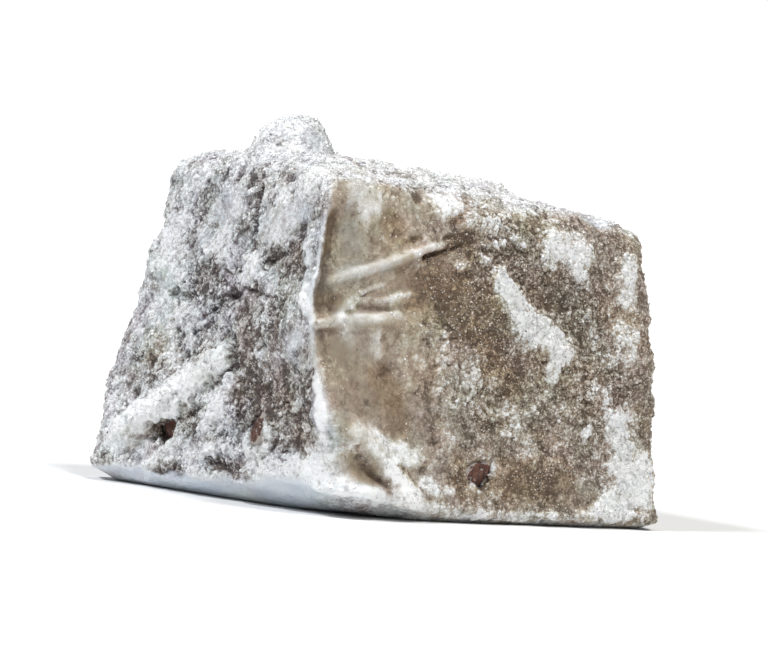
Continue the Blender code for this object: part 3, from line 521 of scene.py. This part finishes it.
def makeBlock():
    made = copyOfNode("delight", "jellyBlock")
    plugs = []
    for node, direction in inward.items():
        plug = copyOfNode(node, node + "Plug")
        low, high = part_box(node)
        middle = (low + high) / 2
        grow = Matrix.Translation(middle + direction * block["plugSunk"]) @ Matrix.Scale(block["plugSize"], 4)
        grow = grow @ Matrix.Scale(block["plugFlat"], 4, direction)
        plug.data.transform(grow @ Matrix.Translation(-middle))
        plugs.append(plug)
    makeActive(made)
    for plug in plugs:
        plug.select_set(True)
    bpy.ops.object.join()
    applyModifier(made, "REMESH", mode="VOXEL", voxel_size=block["voxel"], use_smooth_shade=True)
    applyModifier(made, "SMOOTH", factor=0.5, iterations=block["smoothing"])
    return made


def fromNearEdge(points):  # distance from the near edge: above 0 on the front face, below 0 on the left face
    levels = np.arange(*block["edgeLevels"])
    edge = []
    for level in levels:
        ring = points[np.abs(points[:, 2] - level) < block["edgeSlice"]]
        edge.append(ring[np.argmin(ring[:, 0] + ring[:, 1]), :2])
    edge = np.array(edge)
    edge[1:-1] = (edge[:-2] + 2 * edge[1:-1] + edge[2:]) / 4
    alongX = points[:, 0] - np.interp(points[:, 2], levels, edge[:, 0])
    alongY = points[:, 1] - np.interp(points[:, 2], levels, edge[:, 1])
    return np.hypot(alongX, alongY) * np.where(alongX > alongY, 1.0, -1.0)


def chipsUnder(points):  # rims of starch round each almond chip, and where the chip shows
    rims, shown = np.zeros(len(points)), np.zeros(len(points))
    wobble = noises(points, block["chipWobble"])
    inside, ending, outside, gone = block["chipRim"]
    for node, direction in inward.items():
        low, high = ((np.array(corner) - nearCorner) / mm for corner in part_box(node))
        middle, half = (low + high) / 2, (high - low) / 2
        depth = int(np.argmax(np.abs(np.array(direction))))
        near = np.abs(points[:, depth] - middle[depth]) < block["chipReach"]
        flat = [axis for axis in range(3) if axis != depth]
        ratio = np.hypot(*((points[:, axis] - middle[axis]) / half[axis] for axis in flat)) + wobble
        rims += near * eased(ratio, inside, ending) * (1.0 - eased(ratio, outside, gone))
        shown += near * (1.0 - eased(ratio, *block["chipShown"]))
    return np.clip(rims, 0.0, 1.0), shown


def spanOf(values, low, high, soft=1.0):  # 1 between low and high, 0 away from them
    return eased(values, low - soft, low + soft) * (1.0 - eased(values, high - soft, high + soft))


def cakeBlock(made):
    mesh = made.data
    places, normals = vertexPlaces(mesh), vertexNormals(mesh)
    points = (places - nearCorner) / mm
    x, y, z = points.T
    views = faceViews(points, normals)
    onFront, onRight = views["front"][0], views["right"][0]
    powder, film, brown, specks = starchOver(points, views)

    # uneven patches, drawn out along the streaks
    way, drawn = np.array(block["streak"][0]), block["streak"][1]
    streaked = points - np.outer(points @ way, way) * (1.0 - drawn)
    calm = 1.0 - block["calm"] * (onFront + onRight)
    for number, (spacing, strength) in enumerate(block["patches"]):
        patches = noiseOver(streaked, spacing, 50 + number)
        powder += strength * calm * (1.0 - block["calmFilm"] * film) * patches

    # the lip, the groove beside it, the rim under the near corner and the underside
    beside = fromNearEdge(points)
    (crest, crestWidth), (dusty, dustyWidth) = block["lipCrest"], block["lipDust"]
    (grooveAt, grooveWidth), (rimAt, rimWidth) = block["grooveAt"], block["rimAt"]
    onLip = spanOf(z, *block["lipRun"]) * bell(beside - dusty, dustyWidth)
    inGroove = sum(share * spanOf(z, *run) for share, *run in block["grooveRuns"])
    inGroove = inGroove * bell(beside - grooveAt, grooveWidth)
    onRim = bell(z - rimAt, rimWidth) * spanOf(x, *block["rimRun"]) * (1.0 - eased(y, *block["rimBack"]))
    # tucked is the underside facing the floor: pressed smooth, and painted in cool shade in the material
    tucked = eased(-normals[:, 2] + 0.12 * noiseOver(points, 1.2, 36), *block["tuckedFacing"])
    inFront = eased(x, -0.4, 0.8) * (1.0 - eased(y, 2.5, 5.0))  # there the underside isn't pressed smooth or painted in shade
    tucked *= (1.0 - eased(z, *block["tuckedTop"])) * (1.0 - inFront)
    # The groove loses starch and shows dark brown: bare jelly, and painted shade of the lip.
    powder += block["lipStarch"] * onLip + block["grooveBareAndShade"] * inGroove
    film = np.clip(film + 0.7 * onLip + 0.7 * inGroove, 0.0, 1.0)
    film = np.maximum(film, 0.85 * tucked)
    rims, shown = chipsUnder(points)
    damp, missing = block["damp"]
    powder = np.maximum(powder, damp + missing * (powder - damp))
    powder = powder + block["chipStarch"] * rims + block["rimStarch"] * onRim

    # creases, cracks where the starch is broken, and crumbs
    creases = wrinklesOver(points, views)
    crackDepth, crackSpacing = block["cracks"]
    cracks = 1.0 - eased(np.abs(noiseOver(streaked, crackSpacing, 34)), *block["crackSides"])
    spacing, *ends = block["broken"]
    broken = eased(noiseOver(points, spacing, 35) + 1.1 * specks - 0.5 * film, *ends)
    cracks *= broken * (1.0 - tucked)
    least, more, *ends = block["looseFront"]
    loose = onFront * (least + more * eased(x, *ends)) + (1.0 - onFront) * block["looseSides"]
    loose *= (1.0 - 0.62 * film) * (1.0 + 0.4 * specks)
    rough = 0
    for tall, spacing in block["crumbs"]:
        rough = rough + tall * (np.abs(noiseOver(points, spacing, 32)) * 2.0 - 0.5)

    thick, *limits = block["cake"]
    height = thick * np.clip(powder, *limits) + block["cover"] * rims - block["open"] * shown
    height += rough * np.clip(loose, *block["looseLimits"]) * (1.0 - 0.3 * onFront) - crackDepth * cracks
    height += creases
    height *= 1.0 - eased(-normals[:, 2], 0.5, 0.9)  # the face that stands on the floor stays flat
    moved = normals * height[:, None]
    lip = block["lip"] * spanOf(z, *block["lipRun"]) * bell(beside - crest, crestWidth)
    groove = block["groove"] * inGroove * (beside > 0)
    rim = block["rim"] * onRim * (0.4 + 0.6 * bell(x + 0.3, 1.4))
    for push, far in (((-0.75, -0.5, 0.0), lip), ((0.0, 1.0, 0.0), groove), ((-0.25, -0.97, 0.0), rim)):
        moved += np.array(push) * far[:, None]
    places = places + moved * mm
    places[:, 2] = np.maximum(places[:, 2], 0.0)
    mesh.vertices.foreach_set("co", places.ravel())
    mesh.update()

    inCracks, lessOnFront = block["crackStarch"]
    lost = (inCracks - lessOnFront * onFront) * cracks
    # Creases lose starch by their depth, so they are darker: painted shade. Cracks and the almond chips lose
    # starch too.
    powder += block["creaseShade"] * np.clip(creases, -0.4, 0.0) - lost - 0.5 * shown
    powder = np.maximum(powder, block["driest"])
    flecked = (1.0 - film) * (0.45 + 0.75 * specks) * (1.0 - 0.5 * onFront) * (1.0 - tucked)
    setAttribute(mesh, "powder", powder)
    setAttribute(mesh, "film", film)
    # Less brown on the tucked underside, and tucked stored for the material: both paint the underside's cool
    # shade.
    setAttribute(mesh, "brown", np.clip(brown - 0.4 * onRim, 0.0, 1.0) * (1.0 - 0.7 * tucked))
    setAttribute(mesh, "depth", np.clip(cracks + shown, 0.0, 1.0))
    setAttribute(mesh, "loose", loose)
    setAttribute(mesh, "flecked", flecked)
    setAttribute(mesh, "tucked", tucked * (1.0 - onRim))


def groundOf(made):  # the surface that crumbs and grains are scattered on
    mesh = made.data
    count = len(mesh.polygons)
    centres, normals, areas = np.zeros(count * 3), np.zeros(count * 3), np.zeros(count)
    mesh.polygons.foreach_get("center", centres)
    mesh.polygons.foreach_get("normal", normals)
    mesh.polygons.foreach_get("area", areas)
    first, corners = np.zeros(count, dtype=np.int32), np.zeros(len(mesh.loops), dtype=np.int32)
    mesh.polygons.foreach_get("loop_start", first)
    mesh.loops.foreach_get("vertex_index", corners)
    ground = {"centres": centres.reshape(-1, 3), "normals": normals.reshape(-1, 3), "areas": areas}
    for name in ("powder", "film", "brown", "depth"):
        layer = np.zeros(len(mesh.vertices), dtype=np.float32)
        mesh.attributes[name].data.foreach_get("value", layer)
        ground[name] = layer[corners[first]]
    ground["points"] = (ground["centres"] - nearCorner) / mm
    return ground


# Into one closed wedge for each side, because the whole has too many faces for one piece.
def splitBlock(made):
    mesh = made.data
    count = len(mesh.polygons)
    centres = np.zeros(count * 3)
    mesh.polygons.foreach_get("center", centres)
    middle = (np.array(cadLow) + np.array(cadHigh)) / 2
    half = (np.array(cadHigh) - np.array(cadLow)) / 2
    toSide = (centres.reshape(-1, 3) - middle) / half
    axis = np.argmax(np.abs(toSide), axis=1)
    side = axis * 2 + (toSide[np.arange(count), axis] > 0)
    names = {0: "jellyLeft", 1: "jellyRight", 2: "jellyFront", 3: "jellyBack", 4: "jellyBase", 5: "jellyTop"}
    pieces = []
    layer = mesh.attributes.new("side", "INT", "FACE")
    layer.data.foreach_set("value", side.astype(np.int32))
    for number, name in names.items():
        makeActive(made)
        if number < 5:
            here = np.zeros(len(made.data.polygons), dtype=np.int32)
            made.data.attributes["side"].data.foreach_get("value", here)
            bpy.context.tool_settings.mesh_select_mode = (False, False, True)
            made.data.polygons.foreach_set("select", here == number)
            bpy.ops.object.mode_set(mode="EDIT")
            bpy.ops.mesh.separate(type="SELECTED")
            bpy.ops.object.mode_set(mode="OBJECT")
            piece = [thing for thing in bpy.context.selected_objects if thing != made][0]
        else:
            piece = made
        piece.name = name
        piece.data.name = name
        makeActive(piece)
        bpy.context.tool_settings.mesh_select_mode = (False, True, False)
        bpy.ops.object.mode_set(mode="EDIT")
        bpy.ops.mesh.select_all(action="DESELECT")
        bpy.ops.mesh.select_non_manifold(
            extend=False, use_wire=False, use_multi_face=False, use_non_contiguous=False, use_verts=False)
        bpy.ops.mesh.mark_sharp()
        bpy.ops.mesh.extrude_region_move()
        bpy.ops.transform.resize(value=(0.0, 0.0, 0.0), center_override=tuple(middle))
        bpy.ops.mesh.merge(type="CENTER")
        bpy.ops.mesh.select_all(action="SELECT")
        bpy.ops.mesh.normals_make_consistent(inside=False)
        bpy.ops.object.mode_set(mode="OBJECT")
        pieces.append(piece)
    return pieces


# Loose crumbs of starch and grains of sugar, all at their real size.
crumbs = {"count": 7600, "sizes": (0.12, 0.34), "flat": 0.6, "sink": 0.0, "seed": 4}
dust = {"count": 14000, "sizes": (0.07, 0.15), "flat": 0.7, "sink": 0.0, "seed": 6}
grains = {"count": 22000, "sizes": (0.09, 0.21), "flat": 0.7, "sink": -0.10, "seed": 5}
scattering = {
    "jitter": 0.05, "tilt": 0.3,  # millimetres off the surface's faces, and how unevenly they lie
    "small": 2.6,  # above 1 most are small
    "widths": (0.6, 1.0), "heights": (0.6, 1.2),  # against their length
}


def lumpShapes(start, variants, roughness, seed):  # a few different lumps, as corners and faces
    shapes = []
    for variant in range(variants):
        deselectAll()
        if start == "cube":
            bpy.ops.mesh.primitive_cube_add(size=0.75)
        else:
            bpy.ops.mesh.primitive_uv_sphere_add(segments=4, ring_count=2, radius=0.5)
        lump = bpy.context.object
        bpy.ops.object.mode_set(mode="EDIT")
        bpy.ops.mesh.select_all(action="SELECT")
        bpy.ops.transform.vertex_random(offset=roughness, uniform=0.0, normal=0.0, seed=seed + variant)
        bpy.ops.mesh.quads_convert_to_tris()
        bpy.ops.object.mode_set(mode="OBJECT")
        faces = np.array([face.vertices[:] for face in lump.data.polygons])
        shapes.append((np.array([corner.co for corner in lump.data.vertices]), faces))
        bpy.data.objects.remove(lump)
    return shapes


def scatter(name, ground, settings, wanted, shapes):
    draw = np.random.default_rng(settings["seed"])
    chance = ground["areas"] * wanted
    chosen = draw.choice(len(chance), settings["count"], p=chance / chance.sum())
    jitter = scattering["jitter"]
    places = ground["centres"][chosen] + draw.uniform(-jitter, jitter, (len(chosen), 3)) * mm
    up = ground["normals"][chosen] + draw.normal(0.0, scattering["tilt"], (len(chosen), 3))
    up /= np.linalg.norm(up, axis=1)[:, None]
    along = np.cross(up, draw.normal(0.0, 1.0, (len(chosen), 3)))
    along /= np.linalg.norm(along, axis=1)[:, None]
    across = np.cross(up, along)
    low, high = settings["sizes"]
    size = (low + (high - low) * draw.random(len(chosen)) ** scattering["small"]) * mm
    width = size * draw.uniform(*scattering["widths"], len(chosen))
    tall = size * settings["flat"] * draw.uniform(*scattering["heights"], len(chosen))
    places = places + up * (tall * settings["sink"])[:, None]
    places[:, 2] = np.maximum(places[:, 2], tall * 0.5 + 0.00002)
    corners, faces, shade = [], [], []
    kinds = draw.integers(0, len(shapes), len(chosen))
    tones = draw.random(len(chosen))
    start = 0
    for kind, (lump, lumpFaces) in enumerate(shapes):
        mine = kinds == kind
        count = int(mine.sum())
        x, y, z = lump.T
        body = (along[mine] * size[mine, None])[:, None, :] * x[None, :, None]
        body += (across[mine] * width[mine, None])[:, None, :] * y[None, :, None]
        body += (up[mine] * tall[mine, None])[:, None, :] * z[None, :, None]
        body += places[mine][:, None, :]
        corners.append(body.reshape(-1, 3))
        steps = start + np.arange(count)[:, None, None] * len(lump)
        faces.append((lumpFaces[None, :, :] + steps).reshape(-1, 3))
        shade.append(np.repeat(tones[mine], len(lump)))
        start += count * len(lump)
    corners, faces = np.concatenate(corners), np.concatenate(faces)
    corners[:, 2] = np.maximum(corners[:, 2], 0.0)
    mesh = bpy.data.meshes.new(name)
    mesh.from_pydata(corners.tolist(), [], faces.tolist())
    mesh.update()
    made = bpy.data.objects.new(name, mesh)
    bpy.context.scene.collection.objects.link(made)
    setAttribute(mesh, "tone", np.concatenate(shade))
    return made


almond = {
    "levels": 2,
    "wrinkle": 0.00006, "wrinkleSize": 0.0004, "proud": 0.0002,  # metres
    "shown": (0.62, 0.78), "wobble": ((0.18, 0.5, 45),),  # where the dust starts and ends, and how unevenly
}


def makeAlmond(node):
    made = copyOfNode(node, node + "Skin")
    applyModifier(made, "SUBSURF", levels=almond["levels"], render_levels=almond["levels"])
    texture = bpy.data.textures.new(node + "Wrinkles", "CLOUDS")
    texture.noise_scale = almond["wrinkleSize"]
    applyModifier(made, "DISPLACE", texture=texture, texture_coords="LOCAL", strength=almond["wrinkle"])
    made.data.transform(Matrix.Translation(-inward[node] * almond["proud"]))
    makeActive(made)
    bpy.ops.object.shade_smooth()
    places = vertexPlaces(made.data)
    low, high = places.min(axis=0), places.max(axis=0)
    flat = 1.0 - np.abs(np.array(inward[node]))
    ratio = np.linalg.norm((places - (low + high) / 2) * flat / (high - low) * 2, axis=1)
    ratio += noises(places / mm, almond["wobble"])
    setAttribute(made.data, "bare", 1.0 - eased(ratio, *almond["shown"]))
    return made


class Wire:  # a socket of a material: + - * on it add Math nodes
    def __init__(self, tree, socket=None):
        self.tree = tree
        self.socket = socket

    def node(self, kind, settings=None, inputs=None, output=0):
        made = self.tree.nodes.new(kind)
        for name, value in (settings or {}).items():
            setattr(made, name, value)
        for name, value in (inputs or {}).items():
            if isinstance(value, Wire):
                self.tree.links.new(value.socket, made.inputs[name])
            else:
                made.inputs[name].default_value = value
        return Wire(self.tree, made.outputs[output])

    def output(self, name):
        return Wire(self.tree, self.socket.node.outputs[name])

    def maths(self, operation, *values):
        return self.node("ShaderNodeMath", {"operation": operation}, dict(enumerate(values)))

    def __add__(self, other):
        return self.maths("ADD", self, other)

    def __sub__(self, other):
        return self.maths("SUBTRACT", self, other)

    def __mul__(self, other):
        return self.maths("MULTIPLY", self, other)

    def __rsub__(self, other):
        return self.maths("SUBTRACT", other, self)

    __radd__ = __add__
    __rmul__ = __mul__

    def step(self, low, high):  # 0 up to low and 1 from high, eased between
        ends = {"Value": self, "From Min": low, "From Max": high}
        return self.node("ShaderNodeMapRange", {"interpolation_type": "SMOOTHSTEP"}, ends)

    def mixed(self, first, second):  # of two colours, by this share
        return self.node("ShaderNodeMix", {"data_type": "RGBA"}, {0: self, 6: first, 7: second}, 2)

    def noise(self, scale, detail=2.0, roughness=0.5):
        inputs = {"Vector": self, "Scale": scale, "Detail": detail, "Roughness": roughness}
        return self.node("ShaderNodeTexNoise", {}, inputs)

    def warped(self, scale, amount):  # these coordinates, pushed about by a noise
        push = self.noise(scale).output("Color")
        centred = self.node("ShaderNodeVectorMath", {"operation": "SUBTRACT"}, {0: push, 1: (0.5, 0.5, 0.5)})
        scaled = self.node("ShaderNodeVectorMath", {"operation": "SCALE"}, {0: centred, "Scale": amount})
        return self.node("ShaderNodeVectorMath", {"operation": "ADD"}, {0: self, 1: scaled})

    def lumps(self, scale):  # how high each place is on its lump, 0 between them, and a tone for each lump
        cells = self.node("ShaderNodeTexVoronoi", {"distance": "MANHATTAN"}, {"Vector": self, "Scale": scale})
        split = cells.node("ShaderNodeSeparateColor", {}, {0: cells.output("Color")})
        return 1 - cells.step(0.25, 1.05), split.output("Green")

    def ramp(self, stops):  # a colour for each place, evenly blended between stops of value and colour
        colour = stops[0][1]
        for (low, _), (high, after) in zip(stops, stops[1:]):
            ends = {"Value": self, "From Min": low, "From Max": high}
            colour = self.node("ShaderNodeMapRange", {}, ends).mixed(colour, after)
        return colour

    def attribute(self, name):
        return self.node("ShaderNodeAttribute", {"attribute_name": name}, {}, "Fac")

    def bump(self, strength, distance, height):
        return self.node("ShaderNodeBump", {}, {"Strength": strength, "Distance": distance, "Height": height})


def newMaterial(name):
    material = bpy.data.materials.new(name)
    material.use_nodes = True
    shader = material.node_tree.nodes["Principled BSDF"]
    wire = Wire(material.node_tree)
    return material, shader, wire, wire.node("ShaderNodeTexCoord", {}, {}, "Object")


def feed(shader, name, wire):
    wire.tree.links.new(wire.socket, shader.inputs[name])


jellyLooks = {
    "brown": [
        (0.0, (0.115, 0.084, 0.062, 1)), (0.25, (0.25, 0.195, 0.148, 1)), (0.5, (0.41, 0.352, 0.28, 1)),
        (0.75, (0.61, 0.585, 0.54, 1)), (1.0, (0.86, 0.865, 0.86, 1)),
    ],
    "grey": [
        (0.0, (0.092, 0.077, 0.079, 1)), (0.25, (0.226, 0.210, 0.212, 1)), (0.5, (0.42, 0.412, 0.415, 1)),
        (0.75, (0.63, 0.642, 0.662, 1)), (1.0, (0.86, 0.865, 0.87, 1)),
    ],
    "brownFilm": (0.295, 0.25, 0.188, 1), "greyFilm": (0.46, 0.50, 0.55, 1), "filmShare": 0.45,
    # pressed: painted cool blue-grey shade on the tucked underside, mixed in by its share
    "pressed": (0.70, 0.745, 0.80, 1), "pressedShare": 0.8,
    "warm": (1.0, 0.94, 0.82), "hues": (300, (0.44, 0.10, 0.46)),  # to the metre, and strength in each colour
    "bend": (5200, 0.00016),  # noise that bends the lumps: to the metre, and metres
    "lumps": ((1500, 0.12, 0.10), (3000, 0.24, 0.26), (6300, 0.24, 0.26)),  # to the metre; strength of each lump's own tone, and of painted shade by its height, darker between lumps
    "relief": (1500, 500),  # height of a lump and of its tone, shared by how many there are to the metre
    "streaks": (0.695, 2.3),  # turn and stretch
    "flecks": (2400, 0.36, 0.46, 0.42),  # to the metre, where they start and end, and strength
    "mottle": (900, 0.34), "soft": (2600, 0.32),  # to the metre, and strength
    "bump": (0.9, 0.00012), "clear": (0.06, 0.0003),  # strength and metres; light let in, and how far
}


def jellyMaterial():
    looks = jellyLooks
    material, shader, wire, place = newMaterial("dustedJelly")
    powder, film, brown = wire.attribute("powder"), wire.attribute("film"), wire.attribute("brown")
    loose, tucked = wire.attribute("loose"), wire.attribute("tucked")
    bent = place.warped(*looks["bend"])
    lumpToneAndShade, relief = 0, 0
    # Each lump's tone is its own; its height paints shade between lumps and light on their tops.
    for scale, tones, heights in looks["lumps"]:
        lump, tone = bent.lumps(scale)
        lumpToneAndShade = (tone - 0.5) * tones + (lump - 0.5) * heights + lumpToneAndShade
        relief = lump * (looks["relief"][0] / scale) + tone * (looks["relief"][1] / scale) + relief
    soft = (place.noise(looks["soft"][0], 2, 0.7) - 0.5) * looks["soft"][1]
    mottle = (place.noise(looks["mottle"][0], 2) - 0.5) * looks["mottle"][1]
    turned, stretched = looks["streaks"]
    drawn = {"Vector": place, "Rotation": (turned, 0, 0), "Scale": (1, 1, stretched)}
    streaked = place.node("ShaderNodeMapping", {"vector_type": "TEXTURE"}, drawn)
    scale, low, high, strength = looks["flecks"]
    flecks = (1 - streaked.noise(scale, 3, 0.65).step(low, high)) * wire.attribute("flecked")
    starchHere = powder + (lumpToneAndShade + soft) * loose + mottle - flecks * strength
    earthy, dusty = starchHere.ramp(looks["brown"]), starchHere.ramp(looks["grey"])
    colour = brown.step(0.05, 0.7).mixed(dusty, earthy)
    warmed = colour.node("ShaderNodeVectorMath", {"operation": "MULTIPLY"}, {0: colour, 1: looks["warm"]})
    colour = (brown.step(0.75, 1.0) * (1 - starchHere.step(0.6, 0.9))).mixed(colour, warmed)
    smooth = brown.step(0.2, 0.7).mixed(looks["greyFilm"], looks["brownFilm"])
    onFilm = film * looks["filmShare"] * (1 - powder.step(0.75, 1.1)) * starchHere.step(0.05, 0.3)
    # the tucked underside is painted in cool blue-grey shade
    colour = (tucked * looks["pressedShare"]).mixed(onFilm.mixed(colour, smooth), looks["pressed"])
    scale, strengths = looks["hues"]
    hues = place.noise(scale, 4, 0.65).output("Color")
    centred = hues.node("ShaderNodeVectorMath", {"operation": "SUBTRACT"}, {0: hues, 1: (0.5, 0.5, 0.5)})
    fading = 1 - starchHere.step(0.5, 0.9) * 0.8  # caked starch is white
    centred = centred.node("ShaderNodeVectorMath", {"operation": "SCALE"}, {0: centred, "Scale": fading})
    tinting = {0: centred, 1: strengths, 2: (1.0, 1.0, 1.0)}
    tinted = centred.node("ShaderNodeVectorMath", {"operation": "MULTIPLY_ADD"}, tinting)
    colour = colour.node("ShaderNodeVectorMath", {"operation": "MULTIPLY"}, {0: colour, 1: tinted})
    feed(shader, "Base Color", colour)
    feed(shader, "Roughness", starchHere.step(0.0, 0.6) * 0.4 + 0.5)
    feed(shader, "Normal", wire.bump(*looks["bump"], relief * loose + soft - flecks))
    shader.inputs["Subsurface Weight"].default_value = looks["clear"][0]
    shader.inputs["Subsurface Radius"].default_value = (1.0, 0.8, 0.6)
    shader.inputs["Subsurface Scale"].default_value = looks["clear"][1]
    shader.inputs["Specular IOR Level"].default_value = 0.3
    return material


starchLooks = {
    "starchCrumbs": {"bright": (0.82, 0.82, 0.82, 1), "dull": (0.58, 0.57, 0.56, 1), "roughness": 0.95},
    "starchDust": {"bright": (0.74, 0.74, 0.74, 1), "dull": (0.46, 0.45, 0.44, 1), "roughness": 0.95},
    "sugarGrains": {"bright": (0.66, 0.60, 0.52, 1), "dull": (0.20, 0.155, 0.12, 1), "roughness": 0.5},
}


def starchMaterial(name):
    looks = starchLooks[name]
    material, shader, wire, place = newMaterial(name)
    tone = wire.attribute("tone")
    share = (tone + (place.noise(2500, 2) - 0.5) * 0.4).step(0.1, 0.95)
    feed(shader, "Base Color", share.mixed(looks["dull"], looks["bright"]))
    feed(shader, "Normal", wire.bump(0.5, 0.00008, place.noise(7000, 2)))
    shader.inputs["Roughness"].default_value = looks["roughness"]
    shader.inputs["Specular IOR Level"].default_value = 0.3
    return material


almondLooks = {
    "skin": (0.045, 0.015, 0.010, 1), "pale": (0.125, 0.046, 0.026, 1), "dust": (0.40, 0.36, 0.33, 1),
    "dusted": 0.85, "bump": (0.9, 0.00016),
}


def almondMaterial():
    material, shader, wire, place = newMaterial("almondSkin")
    stretched = place.node("ShaderNodeMapping", {}, {"Vector": place, "Scale": (1.0, 1.0, 0.35)})
    streaks = stretched.noise(3800, 3)
    patches = place.noise(2600, 3) * 0.6 + place.noise(8000, 2) * 0.4
    dusted = (patches + 0.28 - wire.attribute("bare") * 0.36).step(0.47, 0.56)
    skin = streaks.step(0.38, 0.62).mixed(almondLooks["skin"], almondLooks["pale"])
    feed(shader, "Base Color", (dusted * almondLooks["dusted"]).mixed(skin, almondLooks["dust"]))
    feed(shader, "Normal", wire.bump(*almondLooks["bump"], streaks + patches))
    shader.inputs["Roughness"].default_value = 0.6
    return material


jelly = makeBlock()
print("block remeshed:", len(jelly.data.polygons), "faces")
cakeBlock(jelly)
print("starch caked on")

ground = groundOf(jelly)
points = ground["points"]
offBase = 1.0 - eased(-ground["normals"][:, 2], 0.2, 0.6)
edges = 1.0 - np.max(ground["normals"] ** 2, axis=1)
foot = bell(points[:, 2] - 1.2, 0.9)
clumps = eased(noiseOver(points, 1.6, 41), -0.05, 0.45)
smoothHere = (1.0 - ground["film"]) ** 2
caked = eased(ground["powder"], 0.55, 0.95)
# the front is smoother at its left
grainy = np.maximum(eased(points[:, 0], 3.0, 12.0), eased(points[:, 1], 4.0, 6.0))
onBrown = 0.03 + ground["brown"]
weights = {
    "starchCrumbs": offBase * smoothHere * caked * (0.12 + clumps + 0.8 * foot + 0.5 * edges),
    "starchDust": offBase * smoothHere * (0.05 + caked) * (1.0 - 0.8 * ground["depth"]),
    "sugarGrains": offBase * smoothHere * (1.05 - caked) * (0.5 + clumps) * onBrown * (0.2 + grainy),
}
recipes = {  # settings, and a few lumps: start, how many, roughness and seed
    "starchCrumbs": (crumbs, lumpShapes("cube", 7, 0.16, 70)),
    "starchDust": (dust, lumpShapes("sphere", 6, 0.12, 80)),
    "sugarGrains": (grains, lumpShapes("sphere", 6, 0.14, 90)),
}
for name, (settings, shapes) in recipes.items():
    made = scatter(name, ground, settings, weights[name], shapes)
    made.data.materials.append(starchMaterial(name))
    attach(made, "root")
    print(name, "scattered:", len(made.data.polygons), "faces")

jelly.data.materials.append(jellyMaterial())
for piece in splitBlock(jelly):
    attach(piece, "root")
    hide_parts("delight")
    print(piece.name, len(piece.data.polygons), "faces")

skin = almondMaterial()
for node in inward:
    made = makeAlmond(node)
    made.data.materials.append(skin)
    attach(made, "root")
    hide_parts(node)
print("almond chips made")

# The floor and the sky. seenSky is how bright the sky is behind the piece.
stage = {"floor": (0.82, 0.82, 0.82, 1), "sky": 0.28, "seenSky": 1.08, "skyColour": (0.95, 0.975, 1.0, 1)}

deselectAll()
bpy.ops.mesh.primitive_circle_add(vertices=64, radius=6.0, fill_type="NGON", location=(0, 0, -0.00002))
floor = bpy.context.object
floor.name = "floor"
floorMaterial, floorShader, *_ = newMaterial("paleFloor")
floorShader.inputs["Base Color"].default_value = stage["floor"]
floorShader.inputs["Roughness"].default_value = 0.9
floor.data.materials.append(floorMaterial)

world = bpy.data.worlds.new("studio")
world.use_nodes = True
bpy.context.scene.world = world
sky = world.node_tree.nodes["Background"]
sky.inputs["Color"].default_value = stage["skyColour"]
worldWire = Wire(world.node_tree)
seen = worldWire.node("ShaderNodeLightPath", {}, {}, "Is Camera Ray")
skyStrength = seen * (stage["seenSky"] - stage["sky"]) + stage["sky"]
world.node_tree.links.new(skyStrength.socket, sky.inputs["Strength"])


def toward(azimuth, elevation):  # the direction that these degrees stand for
    a, e = math.radians(azimuth), math.radians(elevation)
    return Vector((math.sin(a) * math.cos(e), -math.cos(a) * math.cos(e), math.sin(e)))


lamps = {  # azimuth and elevation of where the light comes from, strength, softness, colour
    "key": (8, 60, 2.1, 12, (1.0, 0.985, 0.96)),
    "rim": (125, 42, 0.7, 30, (1.0, 0.99, 0.97)),
    "leftFill": (-92, 54, 2.3, 12, (0.95, 0.975, 1.0)),
}
for name, (azimuth, elevation, strength, softness, colour) in lamps.items():
    source = toward(azimuth, elevation)
    lamp = bpy.data.lights.new(name, "SUN")
    lamp.energy = strength
    lamp.angle = math.radians(softness)
    lamp.color = colour
    holder = bpy.data.objects.new(name, lamp)
    holder.rotation_mode = "QUATERNION"
    holder.rotation_quaternion = source.to_track_quat("Z", "Y")
    holder.location = source * 0.5
    bpy.context.scene.collection.objects.link(holder)

view = {  # in degrees and metres; width is how much the frame spans at the piece
    "azimuth": -35.0, "elevation": 2.5, "roll": 5.0,
    "distance": 0.42, "width": 0.053, "aim": (-0.0002, 0.0, 0.0117),
}

lens = bpy.data.cameras.new("camera")
camera = bpy.data.objects.new("camera", lens)
bpy.context.scene.collection.objects.link(camera)
back = toward(view["azimuth"], view["elevation"])
camera.location = Vector(view["aim"]) + back * view["distance"]
camera.rotation_mode = "QUATERNION"
turned = back.to_track_quat("Z", "Y").to_matrix() @ Matrix.Rotation(math.radians(view["roll"]), 3, "Z")
camera.rotation_quaternion = turned.to_quaternion()
lens.sensor_width = 36
lens.lens = 36 * view["distance"] / view["width"]
lens.clip_start = 0.01
bpy.context.scene.camera = camera
bpy.context.scene.view_settings.view_transform = "Standard"
